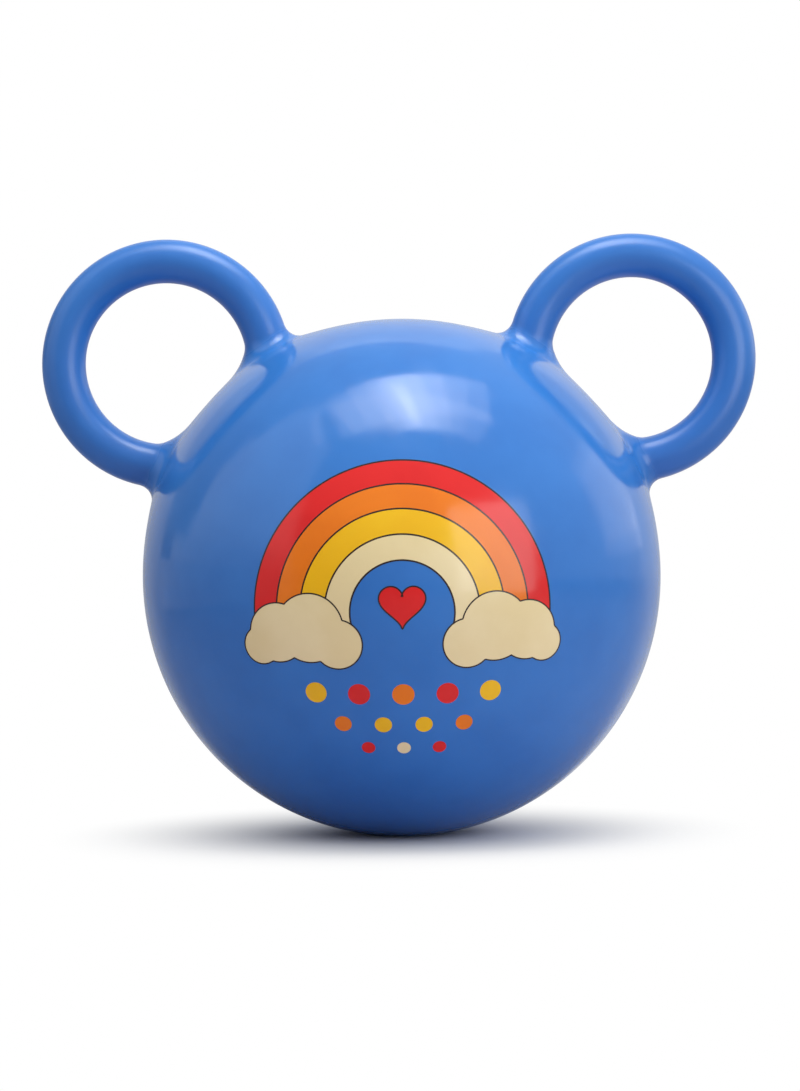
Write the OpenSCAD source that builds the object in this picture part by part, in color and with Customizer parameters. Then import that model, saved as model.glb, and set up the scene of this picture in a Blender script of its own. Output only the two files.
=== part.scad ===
// Hopper ball: an inflated vinyl ball with two hollow ring handles and an air valve at its back.
// Millimetres, +Z up. The origin is the centre of the flat on which the ball rests.
// The front of the ball faces -Y, the handles lean out along -X and +X, and the valve faces +Y.

/* [Ball] */
// Outer diameter of the inflated ball
ball_d = 380; // [320:5:460]
// Thickness of the ball's vinyl wall
ball_wall = 1.2; // [1:0.1:2.4]
// Diameter of the flat that the ball's own weight presses on the floor
rest_patch_d = 50; // [30:1:70]

/* [Ring handles] */
// Lean of each handle away from upright, in degrees
handle_lean = 47; // [42:1:54]
// Diameter of a ring, along the centre line of its tube
ring_d = 151; // [140:1:166]
// Height of a ring's centre above the surface of the ball
ring_rise = 44.5; // [40:0.5:50]
// Outer diameter of the grip tube
grip_d = 32; // [26:1:38]
// Wall of the hollow grip tube
grip_wall = 2.4; // [1.6:0.2:4]
// Height of the low bridge between a handle's two feet, above the surface of the ball
bridge_rise = 3.2; // [2.4:0.2:6]
// Radius of the inside corners of the hand opening
opening_corner_r = 25; // [18:1:32]
// Radius of the blend where a foot runs out onto the ball
foot_fillet = 8; // [6:0.5:11]
// Thickness of the blend at its outer edge
foot_lip = 0.4; // [0.3:0.1:0.8]

/* [Valve sleeve] */
// Bore of the valve, which takes a pump's nozzle
valve_bore_d = 8.4; // [7:0.2:10]
// Outer diameter of the sleeve's barrel
sleeve_d = 15; // [13:0.5:17]
// Diameter of the sleeve's outer flange
sleeve_flange_d = 25; // [23:0.5:30]
// Thickness of the sleeve's outer flange
sleeve_flange_h = 1.6; // [1.2:0.1:2.4]
// How far the barb that holds the sleeve stands out from its barrel
sleeve_barb_lip = 2; // [1:0.1:3]
// Length of the barb, along the valve's axis
sleeve_barb_h = 9; // [6:0.5:12]
// Thickness of the ball's wall behind the valve's recess
recess_floor = 3; // [2:0.2:4.5]
// Slope of the recess's side above its floor, in degrees
recess_slope = 40; // [35:1:60]

/* [Valve plug] */
// Diameter of the plug's head
plug_head_d = 20; // [17:0.5:22]
// Thickness of the plug's head
plug_head_h = 3; // [2.4:0.1:4]
// Depth of the thumb hollow in the plug's head
plug_hollow_depth = 0.8; // [0.4:0.1:1.2]
// Length of the plug's stem, tip included
plug_stem_h = 18; // [15:0.5:22]
// Length of the taper at the stem's tip
plug_tip_h = 4; // [3:0.5:6]
// Diameter of the stem's tip
plug_tip_d = 5; // [4:0.2:6]
// Width of each groove between the stem's sealing ribs
plug_groove_w = 2; // [1.4:0.1:2.6]
// Depth of each groove between the stem's sealing ribs
plug_groove_depth = 0.5; // [0.3:0.1:0.8]

/* [Clearances] */
// Glue line between pieces that are bonded together
bond_gap = 0.2; // [0.15:0.05:0.3]
// Radial clearance of the plug's ribs in the bore
plug_clearance = 0.06; // [0.04:0.01:0.1]
// Gap under the plug's head when it is pushed home
plug_seat_gap = 0.3; // [0.2:0.05:0.5]

/* [Hidden] */
$fn = 96;

// How far a cut runs past the surface that it opens
overrun = 1;

// Ball: its centre stands a little lower than its radius, because of the flat
ball_r = ball_d / 2;
ball_h = sqrt(pow(ball_r, 2) - pow(rest_patch_d / 2, 2));

// Handle, worked out upright in the plane y = 0 with the ball's centre at the origin and z outwards
ring_r = ring_d / 2;
ring_h = ball_r + ring_rise;
grip_r = grip_d / 2;
air_r = grip_r - grip_wall;
opening_r = ring_r - grip_r;

// A foot's underside lies on the glue line, and its blend runs level with the lip above that
seat_r = ball_r + bond_gap;
blend_r = seat_r + foot_lip;
flare_r = grip_r + foot_fillet;

// The blend fills up over the bridge, so the tube's own top lies lower than the finished bridge
bridge_over_lip = ball_r + bridge_rise - blend_r;
bridge_fill = foot_fillet - sqrt(pow(foot_fillet, 2) - pow(foot_fillet - bridge_over_lip, 2));
bridge_h = ball_r + bridge_rise - bridge_fill;

// Each corner arc touches the ring's circle from inside and runs level into the bridge
corner_r = opening_corner_r + grip_r;
corner_h = bridge_h + opening_corner_r;
corner_drop = ring_h - corner_h;
corner_x = sqrt(pow(opening_r - opening_corner_r, 2) - pow(corner_drop, 2));
corner_start = atan2(corner_drop, corner_x);

// The lofted base starts a little way up inside the ring's ends, a hair thinner than the ring
base_overlap_angle = 2;
base_inset = 0.08;
base_r = grip_r - base_inset;

// Faces of the lofted base, which lie closer together along the toe's share of a corner
toe_share = 0.5;
toe_steps = 15;
corner_steps = 5;
bridge_steps = 6;
base_sides = 32;
halvings = 16;

// Valve, worked out along its own axis from the ball's centre: the plug's head ends level with the ball
valve_bore_r = valve_bore_d / 2;
recess_depth = bond_gap + sleeve_flange_h + plug_seat_gap + plug_head_h;
recess_h = ball_r - recess_depth;
recess_margin = 0.6;
recess_floor_r = sleeve_flange_d / 2 + recess_margin;
recess_rim_r = recess_floor_r + recess_depth / tan(recess_slope);
boss_r = recess_rim_r + recess_floor;
boss_h = recess_h - recess_floor;
sleeve_r = sleeve_d / 2;
sleeve_flange_r = sleeve_flange_d / 2;
sleeve_top_h = recess_h + bond_gap + sleeve_flange_h;
sleeve_neck_h = boss_h - bond_gap;
sleeve_tip_h = sleeve_neck_h - sleeve_barb_h;
sleeve_tip_r = (valve_bore_r + sleeve_r) / 2;
barb_land_share = 0.25;
sleeve_edge = 0.5;
plug_head_r = plug_head_d / 2;
plug_seat_h = sleeve_top_h + plug_seat_gap;
plug_stem_r = valve_bore_r - plug_clearance;
plug_straight_h = plug_stem_h - plug_tip_h;
plug_grooves = 3;
plug_rib_w = (plug_straight_h - plug_grooves * plug_groove_w) / (plug_grooves + 1);
hollow_share = 0.55;

// A station of the base: [x of the tube's centre, its height, the outward direction's x and height, tube radius]
function ring_station(side, angle) =
    [side * ring_r * cos(angle), ring_h - ring_r * sin(angle), side * cos(angle), -sin(angle), base_r];
function corner_station(side, angle) =
    [side * (corner_x + corner_r * cos(angle)), corner_h - corner_r * sin(angle),
     side * cos(angle), -sin(angle), grip_r];
function foot_stations(side) =
    let (corner_angle = 90 - corner_start, toe_angle = toe_share * corner_angle)
    [
        ring_station(side, corner_start - base_overlap_angle),
        ring_station(side, corner_start),
        for (i = [1:toe_steps]) corner_station(side, corner_start + toe_angle * i / toe_steps),
        for (i = [1:corner_steps])
            corner_station(side, corner_start + toe_angle + (corner_angle - toe_angle) * i / corner_steps),
    ];
function bridge_stations() =
    [for (i = [1:bridge_steps - 1]) [corner_x * (1 - 2 * i / bridge_steps), bridge_h - grip_r, 0, -1, grip_r]];
function reversed(list) = [for (i = [len(list) - 1:-1:0]) list[i]];

// The point at a turn around a station's tube, at a given distance from the tube's centre
function tube_point(station, turn, reach) =
    [station[0] + reach * cos(turn) * station[2], reach * sin(turn), station[1] + reach * cos(turn) * station[3]];
function height_over_lip(station, turn, reach) = norm(tube_point(station, turn, reach)) - blend_r;

// The blend is an arc between the tube and the ball: its edge is found by halving the span that holds it
function in_blend(station, turn, reach) =
    pow(foot_fillet - (reach - station[4]), 2)
    + pow(max(foot_fillet - height_over_lip(station, turn, reach), 0), 2) > pow(foot_fillet, 2);
function blend_edge(station, turn, near, far, left) =
    let (middle = (near + far) / 2)
    left == 0 ? middle
    : in_blend(station, turn, middle) ? blend_edge(station, turn, middle, far, left - 1)
    : blend_edge(station, turn, near, middle, left - 1);
function base_reach(station, turn) =
    height_over_lip(station, turn, station[4]) >= foot_fillet ? station[4]
    : height_over_lip(station, turn, flare_r) <= 0 ? flare_r
    : blend_edge(station, turn, station[4], flare_r, halvings);

// The two feet and the bridge between them, as one loft of rings of points
module handle_base() {
    stations = concat(foot_stations(1), bridge_stations(), reversed(foot_stations(-1)));
    last = len(stations) - 1;
    points = [
        for (station = stations, i = [0:base_sides - 1])
            let (turn = 360 * i / base_sides) tube_point(station, turn, base_reach(station, turn))
    ];
    walls = [
        for (s = [0:last - 1], i = [0:base_sides - 1])
            let (a = s * base_sides + i, b = s * base_sides + (i + 1) % base_sides)
            let (c = b + base_sides, d = a + base_sides)
            each norm(points[a] - points[c]) < norm(points[b] - points[d])
                ? [[a, b, c], [a, c, d]]
                : [[a, b, d], [b, c, d]]
    ];
    first_end = [for (i = [base_sides - 1:-1:0]) i];
    last_end = [for (i = [0:base_sides - 1]) last * base_sides + i];
    polyhedron(points, concat(walls, [first_end, last_end]));
}

module ring_tube(radius, angle) {
    translate([0, 0, ring_h])
        rotate([90, 0, 0])
            rotate([0, 0, 90 - angle / 2])
                rotate_extrude(angle = angle)
                    translate([ring_r, 0])
                        circle(r = radius);
}

// The hollow of a handle, which runs on through the ball's wall at both feet
module air_passage() {
    ring_tube(air_r, 360);
}

module handle_place(side) {
    translate([0, 0, ball_h])
        rotate([0, side * handle_lean, 0])
            children();
}

module handle(side) {
    color("#3f7cc6")
        handle_place(side)
            difference() {
                union() {
                    ring_tube(grip_r, 180 + 2 * corner_start);
                    handle_base();
                }
                air_passage();
                sphere(r = seat_r);
            }
}

module left_handle() {
    handle(-1);
}

module right_handle() {
    handle(1);
}

// A ball with its flat, taken in all over by the inset
module ball_form(inset) {
    intersection() {
        translate([0, 0, ball_h])
            sphere(r = ball_r - inset);
        translate([-ball_r, -ball_r, inset])
            cube(ball_d);
    }
}

module valve_place() {
    translate([0, 0, ball_h])
        rotate([-90, 0, 0])
            children();
}

// The thick disc of wall round the valve, up to the ball's surface
module valve_boss() {
    valve_place()
        intersection() {
            sphere(r = ball_r);
            translate([0, 0, boss_h])
                cylinder(r = boss_r, h = ball_r - boss_h);
        }
}

// The recess that keeps the plug's head below the ball's surface, and the hole for the sleeve
module valve_recess() {
    cut_h = recess_depth + overrun;
    valve_place() {
        translate([0, 0, recess_h])
            cylinder(r1 = recess_floor_r, r2 = recess_floor_r + cut_h / tan(recess_slope), h = cut_h);
        translate([0, 0, boss_h - overrun])
            cylinder(r = sleeve_r + bond_gap, h = recess_floor + 2 * overrun);
    }
}

module ball_shell() {
    color("#3a73bd")
        difference() {
            union() {
                difference() {
                    ball_form(0);
                    ball_form(ball_wall);
                }
                valve_boss();
            }
            valve_recess();
            for (side = [-1, 1])
                handle_place(side)
                    air_passage();
        }
}

module valve_sleeve() {
    barb_r = sleeve_r + sleeve_barb_lip;
    color("#2f62a8")
        valve_place()
            rotate_extrude()
                polygon([
                    [valve_bore_r, sleeve_top_h - sleeve_edge],
                    [valve_bore_r + sleeve_edge, sleeve_top_h],
                    [sleeve_flange_r - sleeve_edge, sleeve_top_h],
                    [sleeve_flange_r, sleeve_top_h - sleeve_edge],
                    [sleeve_flange_r, recess_h + bond_gap],
                    [sleeve_r, recess_h + bond_gap],
                    [sleeve_r, sleeve_neck_h],
                    [barb_r, sleeve_neck_h],
                    [barb_r, sleeve_neck_h - barb_land_share * sleeve_barb_h],
                    [sleeve_tip_r, sleeve_tip_h],
                    [valve_bore_r, sleeve_tip_h],
                ]);
}

// Half of the plug's outline: a head with a round edge and a thumb hollow
module plug_head_outline() {
    edge_r = plug_head_h / 2;
    hollow_r = hollow_share * plug_head_r;
    hollow_arc_r = (pow(hollow_r, 2) + pow(plug_hollow_depth, 2)) / (2 * plug_hollow_depth);
    difference() {
        union() {
            translate([0, plug_seat_h])
                square([plug_head_r - edge_r, plug_head_h]);
            translate([plug_head_r - edge_r, plug_seat_h + edge_r])
                circle(r = edge_r);
        }
        translate([0, ball_r - plug_hollow_depth + hollow_arc_r])
            circle(r = hollow_arc_r);
    }
}

// Half of the stem's outline: ribs with grooves between them, and a tapered tip
module plug_stem_outline() {
    tip_h = plug_seat_h - plug_stem_h;
    difference() {
        union() {
            translate([0, tip_h + plug_tip_h])
                square([plug_stem_r, plug_straight_h + plug_head_h / 2]);
            polygon([
                [0, tip_h],
                [plug_tip_d / 2, tip_h],
                [plug_stem_r, tip_h + plug_tip_h],
                [0, tip_h + plug_tip_h],
            ]);
        }
        for (i = [1:plug_grooves])
            translate([plug_stem_r - plug_groove_depth, plug_seat_h - i * (plug_rib_w + plug_groove_w)])
                square([plug_groove_depth + overrun, plug_groove_w]);
    }
}

module valve_plug() {
    color("white")
        valve_place()
            rotate_extrude() {
                plug_head_outline();
                plug_stem_outline();
            }
}

ball_shell();
left_handle();
right_handle();
valve_sleeve();
valve_plug();
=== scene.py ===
# Hopper ball: an inflated vinyl ball with two ring handles, a printed front and an air valve at its back.
# Metres, +Z up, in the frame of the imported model. The printed front faces -Y and the valve faces +Y.
import math

import bmesh
import bpy
import numpy as np
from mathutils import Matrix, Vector


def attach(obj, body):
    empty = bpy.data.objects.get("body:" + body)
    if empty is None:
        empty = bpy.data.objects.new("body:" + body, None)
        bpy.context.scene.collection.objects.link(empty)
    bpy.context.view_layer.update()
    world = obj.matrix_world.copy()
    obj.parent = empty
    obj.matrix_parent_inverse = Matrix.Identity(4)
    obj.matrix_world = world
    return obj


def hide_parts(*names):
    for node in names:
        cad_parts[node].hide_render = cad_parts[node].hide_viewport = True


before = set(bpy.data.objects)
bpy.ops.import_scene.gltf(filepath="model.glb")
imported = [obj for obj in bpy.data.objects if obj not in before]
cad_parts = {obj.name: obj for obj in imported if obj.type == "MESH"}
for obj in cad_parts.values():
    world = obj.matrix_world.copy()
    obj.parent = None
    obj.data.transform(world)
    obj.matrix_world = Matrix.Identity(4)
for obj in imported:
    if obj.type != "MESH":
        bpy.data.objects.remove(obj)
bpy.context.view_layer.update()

# Sizes of the ball
BALL_R = 0.190
REST_PATCH_R = 0.025
REST_PATCH_EDGE = 0.0004
BALL_H = math.sqrt(BALL_R ** 2 - REST_PATCH_R ** 2)
CENTRE = np.array([0.0, 0.0, BALL_H])
BALL_COLUMNS = 320
BALL_ROWS = 250
BALL_POLE_GAP = 0.002

# Sizes of a handle, worked out upright with the ball's centre at the origin
HANDLE_LEAN = math.radians(47)
RING_R = 0.0755
RING_RISE = 0.0445
RING_H = BALL_R + RING_RISE
GRIP_R = 0.016
RING_STEPS = 170
TUBE_SIDES = 84
HANDLE_CREASE = math.radians(60)

# Feet of a handle: the fillet and the apron differ on the outside and the inside of the ring
FOOT_FILLET = 0.0103
FOOT_FILLET_OUTSIDE = 0.0015
FOOT_FILLET_INSIDE = 0.0025
FOOT_APRON = 0.006
FOOT_APRON_INSIDE = 0.002
FOOT_APRON_ROWS = 6
FOOT_LIFT = 0.00003
FOOT_DEPTH = 0.002
FOOT_END_R = GRIP_R / 4
FOOT_ROWS = 16
FOOT_SEARCH = (math.radians(80), math.radians(178))
FOOT_HALVINGS = 40
FOOT_FINISH_SPAN = (BALL_R + 0.005, BALL_R + 0.013)

# The skin swells a little round each foot, where the thicker handle pulls it out
UPPER_SHOULDER = 0.0050
LOWER_SHOULDER = 0.0040
SHOULDER_REACH = 0.026
SHOULDER_SQUEEZE = np.array([1.0, 1.5, 1.0])

# Mould line in the plane of the handles, with the points across it in half widths
MOULD_LINE_H = 0.00012
MOULD_LINE_HALF_W = 0.0006
MOULD_LINE_STEPS = (-1, -0.5, 0, 0.5, 1)
MOULD_LINE_CLEAR_ON_BALL = 3
MOULD_LINE_CLEAR_ON_TUBE = 1.5

# Valve, measured along its axis from the ball's centre
BOND_GAP = 0.0002
SLEEVE_R = 0.0075
SLEEVE_FLANGE_R = 0.0125
SLEEVE_FLANGE_H = 0.0016
SLEEVE_BARB_R = 0.0095
SLEEVE_BARB_H = 0.009
SLEEVE_BARB_EDGE_SHARE = 0.25
SLEEVE_ROUND = 0.0005
VALVE_BORE_R = 0.0042
VALVE_COLUMNS = 96
VALVE_CREASE = math.radians(50)
RECESS_FLOOR_R = 0.0131
RECESS_SLOPE = math.radians(40)
RECESS_RIM_SHARE = 0.82
RECESS_LANDING = 0.02
RECESS_WALL = 0.003
RECESS_ROUND = 0.0015
POCKET_AXIS_R = 0.0005
PLUG_SEAT_GAP = 0.0003
PLUG_HEAD_R = 0.010
PLUG_HEAD_H = 0.003
PLUG_STEM_R = 0.00414
PLUG_STEM_H = 0.018
PLUG_TIP_R = 0.0025
PLUG_TIP_H = 0.004
PLUG_AXIS_R = 0.0003
PLUG_GROOVES = 3
PLUG_GROOVE_W = 0.002
PLUG_GROOVE_DEPTH = 0.0005
PLUG_HOLLOW_R = 0.55 * PLUG_HEAD_R
PLUG_HOLLOW_DEPTH = 0.0008
PLUG_HOLLOW_SHARES = (0.85, 0.7, 0.5, 0.3, 0.12)
PLUG_EDGE_UNDER_IN = 0.0008
PLUG_EDGE_UNDER_UP = 0.0012
PLUG_EDGE_SIDE_IN = 0.0004
PLUG_EDGE_TOP_IN = 0.0016
PLUG_EDGE_TOP_DOWN = 0.0006
PLUG_ROUND = 0.0004
RECESS_H = BALL_R - BOND_GAP - SLEEVE_FLANGE_H - PLUG_SEAT_GAP - PLUG_HEAD_H


# Meshes

def loft_faces(rows, columns, loop):
    """Quads over rows of points that close on themselves, with both ends capped unless the rows loop."""
    faces = []
    for row in range(rows if loop else rows - 1):
        here = row * columns
        there = (row + 1) % rows * columns
        for column in range(columns):
            after = (column + 1) % columns
            faces.append((here + column, here + after, there + after, there + column))
    if not loop:
        faces.append(tuple(range(columns)))
        faces.append(tuple(range((rows - 1) * columns, rows * columns)))
    return faces


def add_piece(name, lofts, material, body="ball", node=None, crease=None):
    """One closed mesh made of (grid of points, loop) lofts, riding on a body of the frame."""
    points = []
    faces = []
    for grid, loop in lofts:
        start = len(points)
        rows, columns = grid.shape[:2]
        points.extend(grid.reshape(-1, 3).tolist())
        faces.extend(tuple(start + i for i in face) for face in loft_faces(rows, columns, loop))
    mesh = bpy.data.meshes.new(name)
    mesh.from_pydata(points, [], faces)
    shell = bmesh.new()
    shell.from_mesh(mesh)
    bmesh.ops.recalc_face_normals(shell, faces=shell.faces)
    shell.to_mesh(mesh)
    shell.free()
    mesh.shade_smooth()
    if crease:
        mesh.set_sharp_from_angle(angle=crease)
    mesh.materials.append(material)
    piece = bpy.data.objects.new(name, mesh)
    bpy.context.scene.collection.objects.link(piece)
    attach(piece, body)
    if node:
        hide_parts(node)
    return piece


def lengths(vectors):
    return np.linalg.norm(vectors, axis=-1)


# Skin of the ball

def leaned(points, side):
    """Points of an upright handle, leaned out to its own side of the ball."""
    x, y, z = np.moveaxis(points, -1, 0)
    angle = side * HANDLE_LEAN
    return np.stack([
        x * math.cos(angle) + z * math.sin(angle),
        y,
        z * math.cos(angle) - x * math.sin(angle),
    ], axis=-1)


def shoulders():
    """The middle of each foot on the ball, with the height that the skin rises to there."""
    foot_h = (BALL_R ** 2 + RING_H ** 2 - RING_R ** 2) / (2 * RING_H)
    foot_x = math.sqrt(BALL_R ** 2 - foot_h ** 2)
    feet = []
    for side in (-1, 1):
        feet.append((leaned(np.array([-side * foot_x, 0.0, foot_h]), side), UPPER_SHOULDER))
        feet.append((leaned(np.array([side * foot_x, 0.0, foot_h]), side), LOWER_SHOULDER))
    return feet


SHOULDERS = shoulders()


def mould_line(y):
    """Height of the low ridge that the mould leaves, at a distance y from its plane."""
    return MOULD_LINE_H * np.clip(1 - np.abs(y) / MOULD_LINE_HALF_W, 0, 1)


def skin_radius(directions):
    """How far the skin lies from the ball's centre along unit vectors."""
    points = BALL_R * directions
    radius = BALL_R + mould_line(points[..., 1])
    for foot, height in SHOULDERS:
        away = np.maximum(lengths((points - foot) * SHOULDER_SQUEEZE) - GRIP_R, 0)
        radius = radius + height * np.exp(-away / SHOULDER_REACH)
    return radius


def on_floor(points):
    """Points with the ball's underside pressed flat on the floor."""
    points = points + CENTRE
    height = points[..., 2]
    points[..., 2] = (height + np.sqrt(height ** 2 + REST_PATCH_EDGE ** 2)) / 2
    return points


# Ball

# A rounded corner takes up less than half of a short side
SHORT_SIDE_PARTS = 2.2


def round_corners(corners, radius, steps=5):
    """An open outline of (x, y) points with each inner corner rounded, by less where its sides are short."""
    outline = [corners[0]]
    for before, corner, after in zip(corners, corners[1:], corners[2:]):
        before, corner, after = Vector(before), Vector(corner), Vector(after)
        short_side = min((before - corner).length, (after - corner).length)
        reach = min(radius, short_side / SHORT_SIDE_PARTS)
        start = corner + reach * (before - corner).normalized()
        end = corner + reach * (after - corner).normalized()
        for step in range(steps + 1):
            share = step / steps
            outline.append(tuple(start.lerp(corner, share).lerp(corner.lerp(end, share), share)))
    outline.append(corners[-1])
    return outline


def turned(outline, columns):
    """A grid of points from an outline of (radius, height) points turned about the valve's axis."""
    angles = np.linspace(0, 2 * math.pi, columns, endpoint=False)
    radius, height = np.array(outline).T[:, :, None]
    return np.stack(np.broadcast_arrays(radius * np.sin(angles), height, radius * np.cos(angles)), axis=-1)


def ball_outline():
    """Half section of the ball about the valve's axis, from the inside of the valve round to the front."""
    hole_r = SLEEVE_R + BOND_GAP
    pocket_r = SLEEVE_BARB_R + BOND_GAP
    inner_h = RECESS_H - RECESS_WALL
    pocket_h = inner_h - SLEEVE_BARB_H - RECESS_WALL
    rim_r = RECESS_FLOOR_R + (BALL_R - RECESS_H) * RECESS_RIM_SHARE / math.tan(RECESS_SLOPE)
    rim_angle = math.asin(rim_r / BALL_R)
    landing_angle = rim_angle + RECESS_LANDING
    recess = round_corners([
        (POCKET_AXIS_R, pocket_h),
        (pocket_r, pocket_h),
        (pocket_r, inner_h),
        (hole_r, inner_h),
        (hole_r, RECESS_H),
        (RECESS_FLOOR_R, RECESS_H),
        (rim_r, BALL_R * math.cos(rim_angle)),
        (BALL_R * math.sin(landing_angle), BALL_R * math.cos(landing_angle)),
    ], RECESS_ROUND)
    turns = np.linspace(landing_angle, math.pi - BALL_POLE_GAP, BALL_ROWS)[1:]
    seam_steps = np.array(MOULD_LINE_STEPS) * MOULD_LINE_HALF_W / BALL_R
    clear_of_seam = np.abs(turns - math.pi / 2) > MOULD_LINE_CLEAR_ON_BALL * MOULD_LINE_HALF_W / BALL_R
    turns = np.sort(np.concatenate([turns[clear_of_seam], math.pi / 2 + seam_steps]))
    return recess + [(BALL_R * math.sin(turn), BALL_R * math.cos(turn)) for turn in turns]


def ball(material):
    points = turned(ball_outline(), BALL_COLUMNS)
    directions = points / lengths(points)[..., None]
    points = points + (skin_radius(directions) - BALL_R)[..., None] * directions
    add_piece("ball_skin", [(on_floor(points), False)], material, node="ball_shell")


# Handles

def tube_turns():
    """Angles round the tube, closer together at the mould lines on its inside and outside."""
    seam = MOULD_LINE_HALF_W / GRIP_R
    turns = np.linspace(0, 2 * math.pi, TUBE_SIDES, endpoint=False)
    near_seam = np.abs(np.sin(turns)) < MOULD_LINE_CLEAR_ON_TUBE * seam
    seams = [middle + step * seam for middle in (0, math.pi) for step in MOULD_LINE_STEPS]
    return np.sort(np.concatenate([turns[~near_seam], np.mod(seams, 2 * math.pi)]))


def handle(side, material):
    """A ring of tube from foot to foot, each foot swept onto the skin by a fillet and closed under it."""
    turns = tube_turns()
    outside = np.clip(np.cos(turns), 0, 1) ** 2
    inside = np.clip(-np.cos(turns), 0, 1) ** 2
    fillet = FOOT_FILLET + FOOT_FILLET_OUTSIDE * outside + FOOT_FILLET_INSIDE * inside
    flared = GRIP_R + fillet
    apron = FOOT_APRON + (FOOT_APRON_INSIDE - FOOT_APRON) * inside

    def tube(angles, reach):
        """A ring of points round the tube, each at its own angle and reach from the tube's middle."""
        outward = np.stack([np.cos(angles), np.zeros_like(angles), np.sin(angles)], axis=-1)
        across = np.cos(turns)[:, None] * outward + np.sin(turns)[:, None] * np.array([0.0, 1.0, 0.0])
        reach = reach + mould_line(reach * np.sin(turns))
        middle = RING_R * outward + np.array([0.0, 0.0, RING_H])
        return leaned(middle + reach[..., None] * across, side)

    def angles_at(end, reach, height):
        """Where the handle comes down to a height over the skin, found by halving the span that holds it."""
        above, below = (np.full_like(turns, math.pi / 2 + end * swing) for swing in FOOT_SEARCH)
        for _ in range(FOOT_HALVINGS):
            middle = (above + below) / 2
            points = tube(middle, reach)
            distance = lengths(points)
            high = distance - skin_radius(points / distance[:, None]) > height
            above = np.where(high, middle, above)
            below = np.where(high, below, middle)
        return above

    def foot(end):
        """Rows down a foot: the fillet's arc, an apron that sinks gently into the skin, and a hidden end."""
        rows = [
            (flared - fillet * math.cos(bend), fillet * (1 - math.sin(bend)) + FOOT_LIFT)
            for bend in np.linspace(0, math.pi / 2, FOOT_ROWS)
        ]
        for share in np.linspace(0, 1, FOOT_APRON_ROWS)[1:]:
            rows.append((flared + share * apron, np.full_like(turns, FOOT_LIFT * math.cos(share * math.pi))))
        rows.append((flared + apron, np.full_like(turns, -FOOT_DEPTH)))
        rows.append((np.full_like(turns, FOOT_END_R), np.full_like(turns, -2 * FOOT_DEPTH)))
        return [(angles_at(end, reach, height), reach) for reach, height in rows]

    first_foot = foot(-1)
    last_foot = foot(1)
    first_angles = first_foot[0][0]
    last_angles = last_foot[0][0]
    bare = np.full_like(turns, GRIP_R)
    ring = [
        (first_angles + share * (last_angles - first_angles), bare)
        for share in np.linspace(0, 1, RING_STEPS)[1:-1]
    ]
    points = np.array([tube(angles, reach) for angles, reach in first_foot[::-1] + ring + last_foot])
    name = "left_ring_handle" if side < 0 else "right_ring_handle"
    node = "left_handle" if side < 0 else "right_handle"
    add_piece(name, [(points + CENTRE, False)], material, node=node, crease=HANDLE_CREASE)


# Valve

def sleeve_outline():
    """Half section of the sleeve: its bore, flange, barrel and barb."""
    top_h = RECESS_H + BOND_GAP + SLEEVE_FLANGE_H
    neck_h = RECESS_H - RECESS_WALL - BOND_GAP
    tip_h = neck_h - SLEEVE_BARB_H
    return round_corners([
        (VALVE_BORE_R, tip_h),
        (VALVE_BORE_R, top_h),
        (SLEEVE_FLANGE_R, top_h),
        (SLEEVE_FLANGE_R, RECESS_H + BOND_GAP),
        (SLEEVE_R, RECESS_H + BOND_GAP),
        (SLEEVE_R, neck_h),
        (SLEEVE_BARB_R, neck_h),
        (SLEEVE_BARB_R, neck_h - SLEEVE_BARB_EDGE_SHARE * SLEEVE_BARB_H),
        ((VALVE_BORE_R + SLEEVE_R) / 2, tip_h),
        (VALVE_BORE_R, tip_h),
    ], SLEEVE_ROUND)[:-1]


def plug_outline():
    """Half section of the plug: its tapered tip, ribbed stem and head with a thumb hollow."""
    seat_h = BALL_R - PLUG_HEAD_H
    tip_h = seat_h - PLUG_STEM_H
    straight_h = PLUG_STEM_H - PLUG_TIP_H
    groove_r = PLUG_STEM_R - PLUG_GROOVE_DEPTH
    rib_w = (straight_h - PLUG_GROOVES * PLUG_GROOVE_W) / (PLUG_GROOVES + 1)
    stem = [(PLUG_STEM_R, tip_h + PLUG_TIP_H)]
    for groove in range(PLUG_GROOVES):
        low = tip_h + PLUG_TIP_H + rib_w + groove * (rib_w + PLUG_GROOVE_W)
        high = low + PLUG_GROOVE_W
        stem += [(PLUG_STEM_R, low), (groove_r, low), (groove_r, high), (PLUG_STEM_R, high)]
    hollow = [
        (PLUG_HOLLOW_R * share, BALL_R - PLUG_HOLLOW_DEPTH * (1 - share ** 2))
        for share in PLUG_HOLLOW_SHARES
    ]
    return round_corners([
        (PLUG_AXIS_R, tip_h),
        (PLUG_TIP_R, tip_h),
        *stem,
        (PLUG_STEM_R, seat_h),
        (PLUG_HEAD_R - PLUG_EDGE_UNDER_IN, seat_h),
        (PLUG_HEAD_R, seat_h + PLUG_EDGE_UNDER_UP),
        (PLUG_HEAD_R - PLUG_EDGE_SIDE_IN, BALL_R - PLUG_EDGE_TOP_DOWN),
        (PLUG_HEAD_R - PLUG_EDGE_TOP_IN, BALL_R),
        (PLUG_HOLLOW_R, BALL_R),
        *hollow,
        (PLUG_AXIS_R, BALL_R - PLUG_HOLLOW_DEPTH),
    ], PLUG_ROUND, steps=3)


def valve(rubber, plastic):
    sleeve = turned(sleeve_outline(), VALVE_COLUMNS) + CENTRE
    add_piece("valve_collar", [(sleeve, True)], rubber,
              node="valve_sleeve", crease=VALVE_CREASE)
    plug = turned(plug_outline(), VALVE_COLUMNS) + CENTRE
    add_piece("air_plug", [(plug, False)], plastic, body="plug",
              node="valve_plug", crease=VALVE_CREASE)


# Print on the front: a striped arch that stands in two clouds, with a heart under it and dots below

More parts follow.
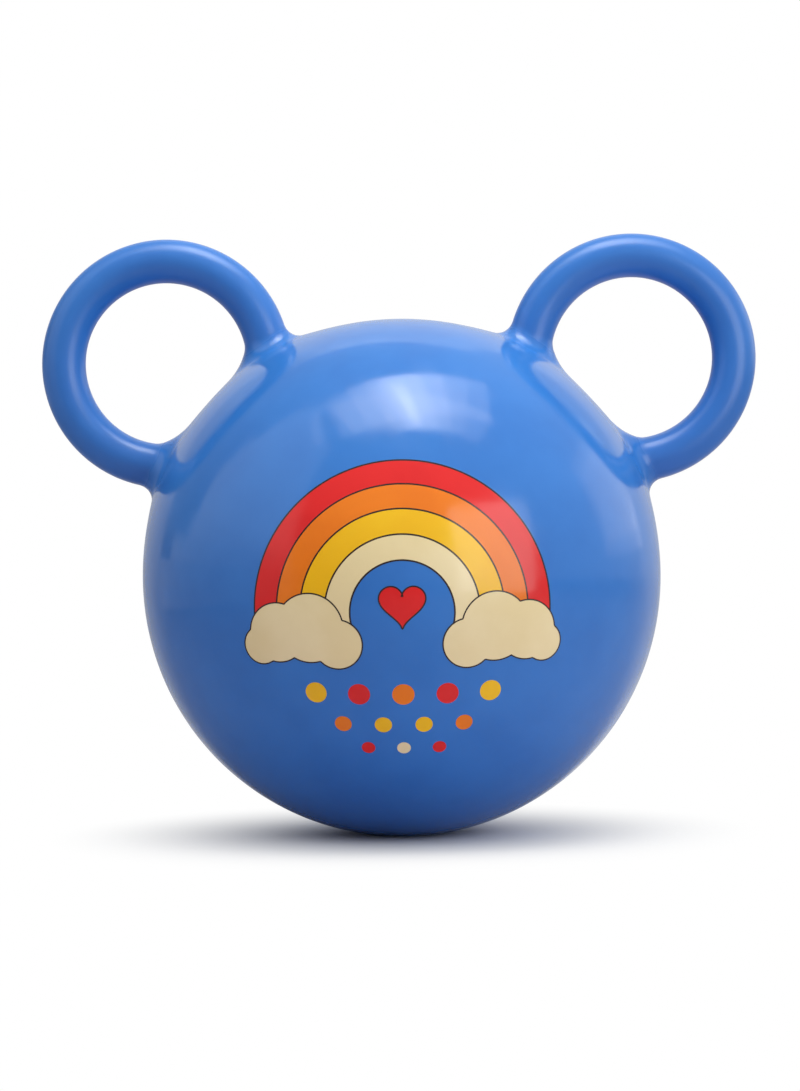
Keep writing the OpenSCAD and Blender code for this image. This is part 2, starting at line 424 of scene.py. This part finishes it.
PRINT_TILT = math.radians(3)
PRINT_CREASE = math.radians(30)
INK_STEP = 0.00005
INK_SINK = 0.00003
INK_GRID = 0.004
INK_MIDDLE_SHARE = 0.02
ARCH_MIDDLE = np.array([0.0, -0.012])
ARCH_R = 0.106
ARCH_LEG = 0.016
STRIPE_INKS = ("red", "orange", "yellow", "cream")
STRIPE_W = 0.0165
STRIPE_GAP = 0.0012
STRIPE_ROWS = 6
STRIPE_STEPS_PER_GRID = 2
CLOUD_MIDDLE = np.array([0.071, -0.028])
# Each puff of a cloud: its middle across and up from the cloud's middle, and its radius
CLOUD_PUFFS = (
    (-0.026, -0.006, 0.017),
    (-0.006, 0.005, 0.024),
    (0.018, 0.001, 0.021),
    (0.031, -0.009, 0.0135),
)
HEART_MIDDLE = np.array([0.0, -0.006])
HEART_SIZE = 0.0155
KEYLINE_W = 0.0010
# Each row of dots: its height, the dots' spacing and radius, and their inks from left to right
DOT_ROWS = (
    (-0.070, 0.031, 0.0078, ("yellow", "red", "orange", "red", "yellow")),
    (-0.094, 0.029, 0.0062, ("orange", "yellow", "yellow", "orange")),
    (-0.114, 0.026, 0.0050, ("red", "cream", "red")),
)


# Keeps a direction from being worked out at a distance of nothing
LEAST_DISTANCE = 1e-9


def on_front(plan, height):
    """Points of the flat print laid onto the skin, at a height above it."""
    ahead = np.array([0.0, -math.cos(PRINT_TILT), -math.sin(PRINT_TILT)])
    right = np.array([1.0, 0.0, 0.0])
    up = np.cross(ahead, right)
    away = np.maximum(lengths(plan), LEAST_DISTANCE)[..., None]
    sideways = (plan[..., :1] * right + plan[..., 1:] * up) / away
    directions = np.cos(away / BALL_R) * ahead + np.sin(away / BALL_R) * sideways
    return directions * (skin_radius(directions) + height)[..., None] + CENTRE


def ink_patch(outline, middle, layer):
    """A film of ink inside an outline, as rings of points about its middle."""
    rings = max(2, round(lengths(outline - middle).max() / INK_GRID))
    shares = np.linspace(INK_MIDDLE_SHARE, 1, rings + 1)[:, None, None]
    plan = middle + shares * (outline - middle)
    top = on_front(plan, layer * INK_STEP)
    under = on_front(plan[::-1], -INK_SINK)
    return np.concatenate([top, under]), False


def ink_stripe(middle, inner_r, outer_r, start, end, layer):
    """A film of ink along an arc."""
    angles = np.linspace(start, end, round((end - start) * outer_r / INK_GRID * STRIPE_STEPS_PER_GRID))
    radii = np.linspace(inner_r, outer_r, STRIPE_ROWS)
    rays = np.stack([np.cos(angles), np.sin(angles)], axis=-1)
    plan = middle + radii[None, :, None] * rays[:, None, :]
    top = on_front(plan, layer * INK_STEP)
    under = on_front(plan[:, ::-1], -INK_SINK)
    return np.concatenate([top, under], axis=1), False


def ink_line(outline, width, layer):
    """A line of ink along a closed outline, outside it."""
    ahead = np.roll(outline, -1, axis=0) - np.roll(outline, 1, axis=0)
    ahead = ahead / lengths(ahead)[:, None]
    outside = outline + width * np.stack([ahead[:, 1], -ahead[:, 0]], axis=-1)
    return np.stack([
        on_front(outline, layer * INK_STEP),
        on_front(outside, layer * INK_STEP),
        on_front(outside, -INK_SINK),
        on_front(outline, -INK_SINK),
    ]), True


def circle_outline(middle, radius, points=72):
    angles = np.linspace(0, 2 * math.pi, points, endpoint=False)
    return middle + radius * np.stack([np.cos(angles), np.sin(angles)], axis=-1)


def cloud_outline(side, points=200):
    """The outer edge of a heap of round puffs, seen from the heap's middle."""
    angles = np.linspace(0, 2 * math.pi, points, endpoint=False)
    rays = np.stack([np.cos(angles), np.sin(angles)], axis=-1)
    reach = np.zeros(points)
    for x, y, radius in CLOUD_PUFFS:
        puff = np.array([x, y])
        nearest = rays @ puff
        inside = nearest ** 2 + radius ** 2 - puff @ puff
        edge = np.where(inside > 0, nearest + np.sqrt(np.maximum(inside, 0)), 0)
        reach = np.maximum(reach, edge)
    outline = CLOUD_MIDDLE + reach[:, None] * rays
    return outline if side > 0 else (outline * np.array([-1, 1]))[::-1]


def heart_outline(points=120):
    """The common heart curve, a sum of cosines."""
    turn = np.linspace(0, 2 * math.pi, points, endpoint=False)
    across = np.sin(turn) ** 3
    up = (13 * np.cos(turn) - 5 * np.cos(2 * turn) - 2 * np.cos(3 * turn) - np.cos(4 * turn)) / 16
    return HEART_MIDDLE + HEART_SIZE * np.stack([-across, up], axis=-1)


def front_print(inks):
    """One piece for each ink, with all its films."""
    films = {ink: [] for ink in inks}

    def add_arc(ink, inner_r, outer_r, leg_angle):
        films[ink].append(ink_stripe(ARCH_MIDDLE, inner_r, outer_r, -leg_angle, math.pi + leg_angle, 1))

    for stripe, ink in enumerate(STRIPE_INKS):
        outer_r = ARCH_R - stripe * (STRIPE_W + STRIPE_GAP)
        inner_r = outer_r - STRIPE_W
        leg_angle = math.asin(ARCH_LEG / outer_r)
        add_arc(ink, inner_r, outer_r, leg_angle)
        add_arc("line", outer_r, outer_r + STRIPE_GAP, leg_angle)
        if ink == STRIPE_INKS[-1]:
            add_arc("line", inner_r - STRIPE_GAP, inner_r, leg_angle)
    for side in (-1, 1):
        outline = cloud_outline(side)
        films["cream"].append(ink_patch(outline, CLOUD_MIDDLE * np.array([side, 1]), 2))
        films["line"].append(ink_line(outline, KEYLINE_W, 3))
    films["red"].append(ink_patch(heart_outline(), HEART_MIDDLE, 1))
    films["line"].append(ink_line(heart_outline(), KEYLINE_W, 2))
    for height, spacing, radius, row_inks in DOT_ROWS:
        for dot, ink in enumerate(row_inks):
            middle = np.array([(dot - (len(row_inks) - 1) / 2) * spacing, height])
            films[ink].append(ink_patch(circle_outline(middle, radius), middle, 1))
    for ink, lofts in films.items():
        add_piece("print_" + ink, lofts, inks[ink], crease=PRINT_CREASE)


# Materials

# Spans of a noise's values over which a finish changes, specks in the skin, and heights of fine relief
CLOUD_SPAN = (0.35, 0.65)
SKIN_GLOSS_SPAN = (0.3, 0.75)
MOULDING_GLOSS_SPAN = (0.3, 0.7)
SPECK_SPAN = (0.76, 0.82)
SPECK_SHARE = 0.15
SPECK_DARKNESS = 0.6
SKIN_WAVE_H = 0.00022
SKIN_GRAIN_H = 0.000006
SLEEVE_GRAIN_H = 0.00002
PLUG_GRAIN_H = 0.00001

# Roughness of each finish where it is glossiest and where it is dullest
SKIN_ROUGHNESS = (0.10, 0.20)
HANDLE_ROUGHNESS = (0.28, 0.33)
SLEEVE_ROUGHNESS = (0.38, 0.52)
PLUG_ROUGHNESS = (0.34, 0.46)


def map_range(tree, value, low, high, start, end, kind="LINEAR"):
    """A value's place between low and high, moved to between start and end."""
    node = tree.nodes.new("ShaderNodeMapRange")
    node.interpolation_type = kind
    for socket, number in (("From Min", low), ("From Max", high), ("To Min", start), ("To Max", end)):
        node.inputs[socket].default_value = number
    tree.links.new(value, node.inputs["Value"])
    return node.outputs["Result"]


def combine(tree, operation, first, second):
    """Two numbers joined by a Math node."""
    node = tree.nodes.new("ShaderNodeMath")
    node.operation = operation
    tree.links.new(first, node.inputs[0])
    tree.links.new(second, node.inputs[1])
    return node.outputs[0]


def blend(tree, share, first, second):
    """A number between two others, at a share of the way."""
    node = tree.nodes.new("ShaderNodeMix")
    tree.links.new(share, node.inputs["Factor"])
    tree.links.new(first, node.inputs["A"])
    tree.links.new(second, node.inputs["B"])
    return node.outputs["Result"]


class Nodes:
    """Short ways to add nodes to one material and link them."""

    def __init__(self, name):
        self.material = bpy.data.materials.new(name)
        self.material.use_nodes = True
        self.tree = self.material.node_tree
        self.shader = self.tree.nodes["Principled BSDF"]
        self.place = self.tree.nodes.new("ShaderNodeTexCoord").outputs["Object"]

    def link(self, output, socket):
        self.tree.links.new(output, socket)

    def noise(self, scale, detail=2.0, roughness=0.5, distortion=0.0):
        node = self.tree.nodes.new("ShaderNodeTexNoise")
        node.inputs["Scale"].default_value = scale
        node.inputs["Detail"].default_value = detail
        node.inputs["Roughness"].default_value = roughness
        node.inputs["Distortion"].default_value = distortion
        self.link(self.place, node.inputs["Vector"])
        return node.outputs["Fac"]

    def span(self, value, low, high, start, end):
        """As map_range, with soft ends."""
        return map_range(self.tree, value, low, high, start, end, "SMOOTHSTEP")

    def mix(self, share, first, second):
        """A colour between two others, at a share of the way."""
        node = self.tree.nodes.new("ShaderNodeMix")
        node.data_type = "RGBA"
        self.link(share, node.inputs["Factor"])
        for socket, colour in ((node.inputs["A"], first), (node.inputs["B"], second)):
            if isinstance(colour, bpy.types.NodeSocket):
                self.link(colour, socket)
            else:
                socket.default_value = (*colour, 1)
        return node.outputs["Result"]

    def distance(self, point):
        """How far a place on the surface lies from a point."""
        node = self.tree.nodes.new("ShaderNodeVectorMath")
        node.operation = "DISTANCE"
        self.link(self.place, node.inputs[0])
        node.inputs[1].default_value = point
        return node.outputs["Value"]

    def bump(self, height, distance, below=None):
        node = self.tree.nodes.new("ShaderNodeBump")
        node.inputs["Strength"].default_value = 1.0
        node.inputs["Distance"].default_value = distance
        self.link(height, node.inputs["Height"])
        if below:
            self.link(below, node.inputs["Normal"])
        return node.outputs["Normal"]


def linear(red, green, blue):
    """A colour given in sRGB from 0 to 255, as the linear values that a shader takes."""
    shares = (red / 255, green / 255, blue / 255)
    return tuple(((share + 0.055) / 1.055) ** 2.4 if share > 0.04045 else share / 12.92 for share in shares)


def glossy_skin(name, finish, foot_finish=None):
    """Moulded vinyl or ink on it: cloudy colour, tiny specks, uneven gloss and a slightly wavy surface.

    A finish is a colour, a deeper one for its clouds, and its least and most roughness. A handle runs from
    its own finish into the ball's at its feet.
    """
    nodes = Nodes(name)
    clouds = nodes.span(nodes.noise(scale=16, detail=4), *CLOUD_SPAN, 0, 1)
    uneven = nodes.noise(scale=55, detail=3)

    def skin(colour, deep_colour, gloss, dull):
        return nodes.mix(clouds, deep_colour, colour), nodes.span(uneven, *SKIN_GLOSS_SPAN, gloss, dull)

    cloudy, roughness = skin(*finish)
    if foot_finish:
        at_foot = nodes.span(nodes.distance(CENTRE), *FOOT_FINISH_SPAN, 1, 0)
        foot_cloudy, foot_roughness = skin(*foot_finish)
        cloudy = nodes.mix(at_foot, cloudy, foot_cloudy)
        roughness = blend(nodes.tree, at_foot, roughness, foot_roughness)
    speck_colour = tuple(SPECK_DARKNESS * value for value in finish[0])
    specks = nodes.span(nodes.noise(scale=900, detail=1), *SPECK_SPAN, 0, SPECK_SHARE)
    nodes.link(nodes.mix(specks, cloudy, speck_colour), nodes.shader.inputs["Base Color"])
    nodes.link(roughness, nodes.shader.inputs["Roughness"])
    waves = nodes.bump(nodes.noise(scale=20, roughness=0.4, distortion=0.3), SKIN_WAVE_H)
    grain = nodes.bump(nodes.noise(scale=650), SKIN_GRAIN_H, waves)
    nodes.link(grain, nodes.shader.inputs["Normal"])
    return nodes.material


def moulded(name, colour, deep_colour, gloss, dull, grain_h):
    """A satin moulding with a fine grain."""
    nodes = Nodes(name)
    clouds = nodes.span(nodes.noise(scale=120, detail=4), *CLOUD_SPAN, 0, 1)
    nodes.link(nodes.mix(clouds, deep_colour, colour), nodes.shader.inputs["Base Color"])
    roughness = nodes.span(nodes.noise(scale=400, detail=5), *MOULDING_GLOSS_SPAN, gloss, dull)
    nodes.link(roughness, nodes.shader.inputs["Roughness"])
    nodes.link(nodes.bump(nodes.noise(scale=2500), grain_h), nodes.shader.inputs["Normal"])
    return nodes.material


# Stage, light and camera

RIGHTWARD = (1, 0, 0)
UPWARD = (0, 0, 1)

# Floor: to the camera it runs out to white over the fade. Mirrors and bounced light see painted light and
# shade of their own
FLOOR_HALF_W = 8.0
FLOOR_FADE = (0.04, 0.27)
FLOOR_PALE = (0.75, 0.75, 0.75)
# Painted light: the floor's colour to bounced light, painted paler near the ball and with less green
FLOOR_NEAR_BOUNCE_PAINTED_LIGHT = (0.75, 0.62, 0.74)
FLOOR_BOUNCE = (0.52, 0.43, 0.51)
# Painted reflection: the floor's colour to mirrors, painted darker on the left and paler on the right
FLOOR_MIRRORED_PAINTED_SHADE_LEFT = (0.32, 0.32, 0.32)
FLOOR_MIRRORED_PAINTED_LIGHT_RIGHT = (0.50, 0.50, 0.50)
FLOOR_MIRRORED_SPAN = (0, 0.9)
# Painted reflection: the share of white glow that mirrors see on the floor behind the ball, more on the
# right
FLOOR_BEHIND_PAINTED_GLOW = (0.30, 0.49)
FLOOR_BEHIND_SPAN = (-0.6, 0.6)
FLOOR_EDGE = (math.cos(math.radians(62)), math.cos(math.radians(40)))
FLOOR_ROUGHNESS = 0.9
FLOOR_SPECULAR = 0.1

# Walls of the room, lighter towards one direction
ROOM_LIT_FROM = (0.26, 0.0, 0.30)
ROOM_LIGHT = 0.36

# Backdrop: a disc of directions, lighter towards one of them, with a bright rim high up. Edges are cosines
BACKDROP_AXIS = (0.04, 0.996, 0.075)
BACKDROP_EDGE = (math.cos(math.radians(48.8)), math.cos(math.radians(46.8)))
BACKDROP_RIM = (math.cos(math.radians(46.8)), math.cos(math.radians(41.3)))
BACKDROP_RIM_LIGHT = 0.5
BACKDROP_RIM_FROM = (0.4, 0.65)
BACKDROP_LIT_FROM = (0.35, 0.0, 1.0)
BACKDROP_LIT = (-0.30, 0.75)
BACKDROP_LIGHT = (0.38, 1.0)
# Each corner that a flag shades: the way to it, and the share of its light that the flag takes
BACKDROP_CORNERS = (
    ((-0.618, 0.485, 0.618), 0.5),
    ((0.618, 0.485, 0.618), 1.0),
)
BACKDROP_CORNER_EDGE = (math.cos(math.radians(25.5)), math.cos(math.radians(23.5)))

# Softbox overhead, brightest in its middle, as layers one below another: middle, size, radiance and turn
SOFTBOX_H = 1.45
SOFTBOX_LAYERS = (
    ((0.09, -0.19), (1.18, 0.55), 1.5, 17.5),
    ((0.11, -0.39), (1.26, 0.45), 1.3, -1),
    ((0.10, -0.27), (0.80, 0.70), 1.1, 10),
    ((0.10, -0.27), (0.50, 0.70), 1.7, 14),
    ((0.08, -0.27), (0.28, 0.66), 1.7, 17),
    ((0.06, -0.30), (0.08, 0.52), 3.4, 18.5),
)
LAYER_GAP = 0.01

# Strip light beside the softbox
STRIP_PLACE = (-0.76, -0.36, 1.60)
STRIP_SIZE = (0.07, 0.57)
STRIP_RADIANCE = 1.4
STRIP_TURN = -18

# Panes of a tall window on the left, from the floor up: lower and upper edge, back edge and radiance
PANE_X = -1.30
PANE_FRONT_Y = -1.25
PANE_FACING = (math.pi / 2, 0, -math.pi / 2)
LEFT_PANES = (
    (0.02, 0.15, 1.00, 0.20),
    (0.15, 0.30, 1.00, 0.30),
    (0.30, 0.45, 0.64, 0.42),
    (0.45, 0.60, 0.33, 0.56),
    (0.60, 1.10, 0.27, 0.66),
    (1.10, 1.45, 0.22, 0.66),
    (1.45, 2.70, 0.12, 0.66),
)

# Panels on the right, in front of the ball and behind it. The one behind has two layers, listed by size
RIGHT_PANEL_PLACE = (1.20, -1.45, 0.50)
RIGHT_PANEL_SIZE = (1.2, 1.4)
RIGHT_PANEL_RADIANCE = 2.4
BACK_PANEL_X = 1.50
BACK_PANEL_Y = 0.66
BACK_PANEL_H = 0.77
BACK_PANEL_LAYERS = ((1.05, 0.90), (0.85, 0.66))
BACK_PANEL_RADIANCE = 0.45

# Camera, in front of the ball and a little above its middle. The frame's width is that at the ball's middle
CAMERA_DISTANCE = 2.2
CAMERA_RISE = 0.0237
CAMERA_SHIFT_LEFT = 0.00096
CAMERA_ROLL = math.radians(0.75)
CAMERA_SENSOR_MM = 36.0
FRAME_W = 0.590


def along(tree, place, axis):
    """How nearly a place lies along an axis from the origin: 1 straight along a unit axis."""
    direction = tree.nodes.new("ShaderNodeVectorMath")
    direction.operation = "NORMALIZE"
    tree.links.new(place, direction.inputs[0])
    share = tree.nodes.new("ShaderNodeVectorMath")
    share.operation = "DOT_PRODUCT"
    tree.links.new(direction.outputs[0], share.inputs[0])
    share.inputs[1].default_value = axis
    return share.outputs["Value"]


def backdrop_share(tree, place, path, edge):
    """How far the backdrop shows to rays from mirrors and glass: 1 behind the ball, and 0 past its edge."""
    behind = map_range(tree, along(tree, place, BACKDROP_AXIS), *edge, 0, 1)
    mirrored = combine(tree, "MAXIMUM", path["Is Glossy Ray"], path["Is Transmission Ray"])
    return combine(tree, "MULTIPLY", mirrored, behind)


def floor():
    """A pale floor that keeps the ball's shadow and runs out to plain white, with painted light and shade
    for mirrors and bounced light.
    """
    mesh = bpy.data.meshes.new("floor")
    w = FLOOR_HALF_W
    mesh.from_pydata([(-w, -w, 0), (w, -w, 0), (w, w, 0), (-w, w, 0)], [], [(0, 1, 2, 3)])
    nodes = Nodes("floor_white")
    tree = nodes.tree
    fade = nodes.span(nodes.distance((0, 0, 0)), *FLOOR_FADE, 0, 1)
    path = tree.nodes.new("ShaderNodeLightPath").outputs
    rightward = along(tree, nodes.place, RIGHTWARD)
    # Painted reflection: mirrors see the floor behind the ball glow more towards the right
    behind = map_range(tree, rightward, *FLOOR_BEHIND_SPAN, *FLOOR_BEHIND_PAINTED_GLOW)
    in_view = backdrop_share(tree, nodes.place, path, FLOOR_EDGE)
    mirrored_white = combine(tree, "MULTIPLY", in_view, behind)
    white = combine(tree, "MAXIMUM", path["Is Camera Ray"], mirrored_white)
    share = combine(tree, "MULTIPLY", fade, white)
    # Painted reflection: to mirrors the floor is painted darker on the left and paler on the right
    painted_light_to_right = nodes.span(rightward, *FLOOR_MIRRORED_SPAN, 0, 1)
    mirrored = nodes.mix(painted_light_to_right, FLOOR_MIRRORED_PAINTED_SHADE_LEFT, FLOOR_MIRRORED_PAINTED_LIGHT_RIGHT)
    # Painted light: to bounced light the floor is painted paler near the ball and has less green
    bounce = nodes.mix(fade, FLOOR_NEAR_BOUNCE_PAINTED_LIGHT, FLOOR_BOUNCE)
    unseen = nodes.mix(path["Is Glossy Ray"], bounce, mirrored)
    nodes.link(nodes.mix(path["Is Camera Ray"], unseen, FLOOR_PALE), nodes.shader.inputs["Base Color"])
    nodes.shader.inputs["Roughness"].default_value = FLOOR_ROUGHNESS
    nodes.shader.inputs["Specular IOR Level"].default_value = FLOOR_SPECULAR
    glow = tree.nodes.new("ShaderNodeEmission")
    surface = tree.nodes.new("ShaderNodeMixShader")
    nodes.link(share, surface.inputs["Fac"])
    nodes.link(nodes.shader.outputs["BSDF"], surface.inputs[1])
    nodes.link(glow.outputs["Emission"], surface.inputs[2])
    nodes.link(surface.outputs["Shader"], tree.nodes["Material Output"].inputs["Surface"])
    mesh.materials.append(nodes.material)
    plane = bpy.data.objects.new("floor", mesh)
    bpy.context.scene.collection.objects.link(plane)


def room():
    """A pale room, lighter above and on the right, and a backdrop that is plain white to the camera."""
    world = bpy.data.worlds.new("room")
    bpy.context.scene.world = world
    world.use_nodes = True
    tree = world.node_tree
    background = tree.nodes["Background"]
    place = tree.nodes.new("ShaderNodeTexCoord").outputs["Generated"]
    path = tree.nodes.new("ShaderNodeLightPath").outputs
    walls = map_range(tree, along(tree, place, ROOM_LIT_FROM), -ROOM_LIGHT, 1 - ROOM_LIGHT, 0, 1)
    backdrop = map_range(tree, along(tree, place, BACKDROP_LIT_FROM), *BACKDROP_LIT, *BACKDROP_LIGHT)
    rim = map_range(tree, along(tree, place, BACKDROP_AXIS), *BACKDROP_RIM, BACKDROP_RIM_LIGHT, 0)
    high_up = map_range(tree, along(tree, place, UPWARD), *BACKDROP_RIM_FROM, 0, 1)
    backdrop = combine(tree, "ADD", backdrop, combine(tree, "MULTIPLY", rim, high_up))
    share = backdrop_share(tree, place, path, BACKDROP_EDGE)
    for corner, shade in BACKDROP_CORNERS:
        clear = map_range(tree, along(tree, place, corner), *BACKDROP_CORNER_EDGE, 1, 1 - shade)
        share = combine(tree, "MULTIPLY", share, clear)
    strength = blend(tree, share, walls, backdrop)
    white = tree.nodes.new("ShaderNodeValue").outputs["Value"]
    white.default_value = 1
    tree.links.new(blend(tree, path["Is Camera Ray"], strength, white), background.inputs["Strength"])
    background.inputs["Color"].default_value = (1, 1, 1, 1)


def lamp(name, place, rotation, width, height, radiance):
    """A flat light of a given brightness all over its face."""
    light = bpy.data.lights.new(name, "AREA")
    light.shape = "RECTANGLE"
    light.size = width
    light.size_y = height
    light.energy = radiance * math.pi * width * height
    holder = bpy.data.objects.new(name, light)
    bpy.context.scene.collection.objects.link(holder)
    holder.location = place
    holder.rotation_euler = rotation


def panel(name, place, width, height, radiance):
    """A light that faces the ball's centre."""
    aim = Vector(CENTRE) - Vector(place)
    lamp(name, place, aim.to_track_quat("-Z", "Y").to_euler(), width, height, radiance)


def ceiling_light(name, place, width, depth, radiance, turn):
    """A light that faces straight down, turned about the vertical."""
    lamp(name, place, (0, 0, math.radians(turn)), width, depth, radiance)


def lights():
    """A softbox overhead with a strip light beside it, a window on the left and panels on the right."""
    for layer, (middle, size, radiance, turn) in enumerate(SOFTBOX_LAYERS):
        ceiling_light("top_softbox", (*middle, SOFTBOX_H - LAYER_GAP * layer), *size, radiance, turn)
    ceiling_light("strip_light", STRIP_PLACE, *STRIP_SIZE, STRIP_RADIANCE, STRIP_TURN)
    for low, high, back_y, radiance in LEFT_PANES:
        middle = (PANE_X, (PANE_FRONT_Y + back_y) / 2, (low + high) / 2)
        lamp("left_pane", middle, PANE_FACING, back_y - PANE_FRONT_Y, high - low, radiance)
    panel("right_panel", RIGHT_PANEL_PLACE, *RIGHT_PANEL_SIZE, RIGHT_PANEL_RADIANCE)
    for layer, size in enumerate(BACK_PANEL_LAYERS):
        place = (BACK_PANEL_X - LAYER_GAP * layer, BACK_PANEL_Y, BACK_PANEL_H)
        panel("right_back_panel", place, *size, BACK_PANEL_RADIANCE)


def camera():
    data = bpy.data.cameras.new("camera")
    data.sensor_fit = "HORIZONTAL"
    data.sensor_width = CAMERA_SENSOR_MM
    data.lens = CAMERA_SENSOR_MM * CAMERA_DISTANCE / FRAME_W
    viewer = bpy.data.objects.new("camera", data)
    bpy.context.scene.collection.objects.link(viewer)
    viewer.location = (-CAMERA_SHIFT_LEFT, -CAMERA_DISTANCE, BALL_H + CAMERA_RISE)
    viewer.rotation_euler = (math.pi / 2, CAMERA_ROLL, 0)
    bpy.context.scene.camera = viewer


# Making

ball_finish = (linear(53, 122, 201), linear(49, 116, 195), *SKIN_ROUGHNESS)
handle_finish = (linear(51, 118, 197), linear(47, 112, 191), *HANDLE_ROUGHNESS)
sleeve_finish = (linear(44, 84, 148), linear(38, 76, 138), *SLEEVE_ROUGHNESS)
plug_finish = (linear(238, 238, 234), linear(230, 230, 226), *PLUG_ROUGHNESS)
ink_finishes = {
    "red": (linear(226, 36, 36), linear(218, 30, 32), *SKIN_ROUGHNESS),
    "orange": (linear(240, 128, 24), linear(234, 120, 20), *SKIN_ROUGHNESS),
    "yellow": (linear(246, 196, 24), linear(242, 188, 18), *SKIN_ROUGHNESS),
    "cream": (linear(240, 226, 176), linear(234, 218, 164), *SKIN_ROUGHNESS),
    "line": (linear(46, 34, 32), linear(40, 30, 28), *SKIN_ROUGHNESS),
}
vinyl = glossy_skin("ball_vinyl_blue", ball_finish)
handle_vinyl = glossy_skin("handle_vinyl_blue", handle_finish, ball_finish)
inks = {ink: glossy_skin("ink_" + ink, finish) for ink, finish in ink_finishes.items()}
valve_rubber = moulded("valve_rubber_blue", *sleeve_finish, SLEEVE_GRAIN_H)
plug_plastic = moulded("plug_plastic_white", *plug_finish, PLUG_GRAIN_H)

ball(vinyl)
for side in (-1, 1):
    handle(side, handle_vinyl)
valve(valve_rubber, plug_plastic)
front_print(inks)
floor()
room()
lights()
camera()

bpy.context.scene.view_settings.view_transform = "Standard"
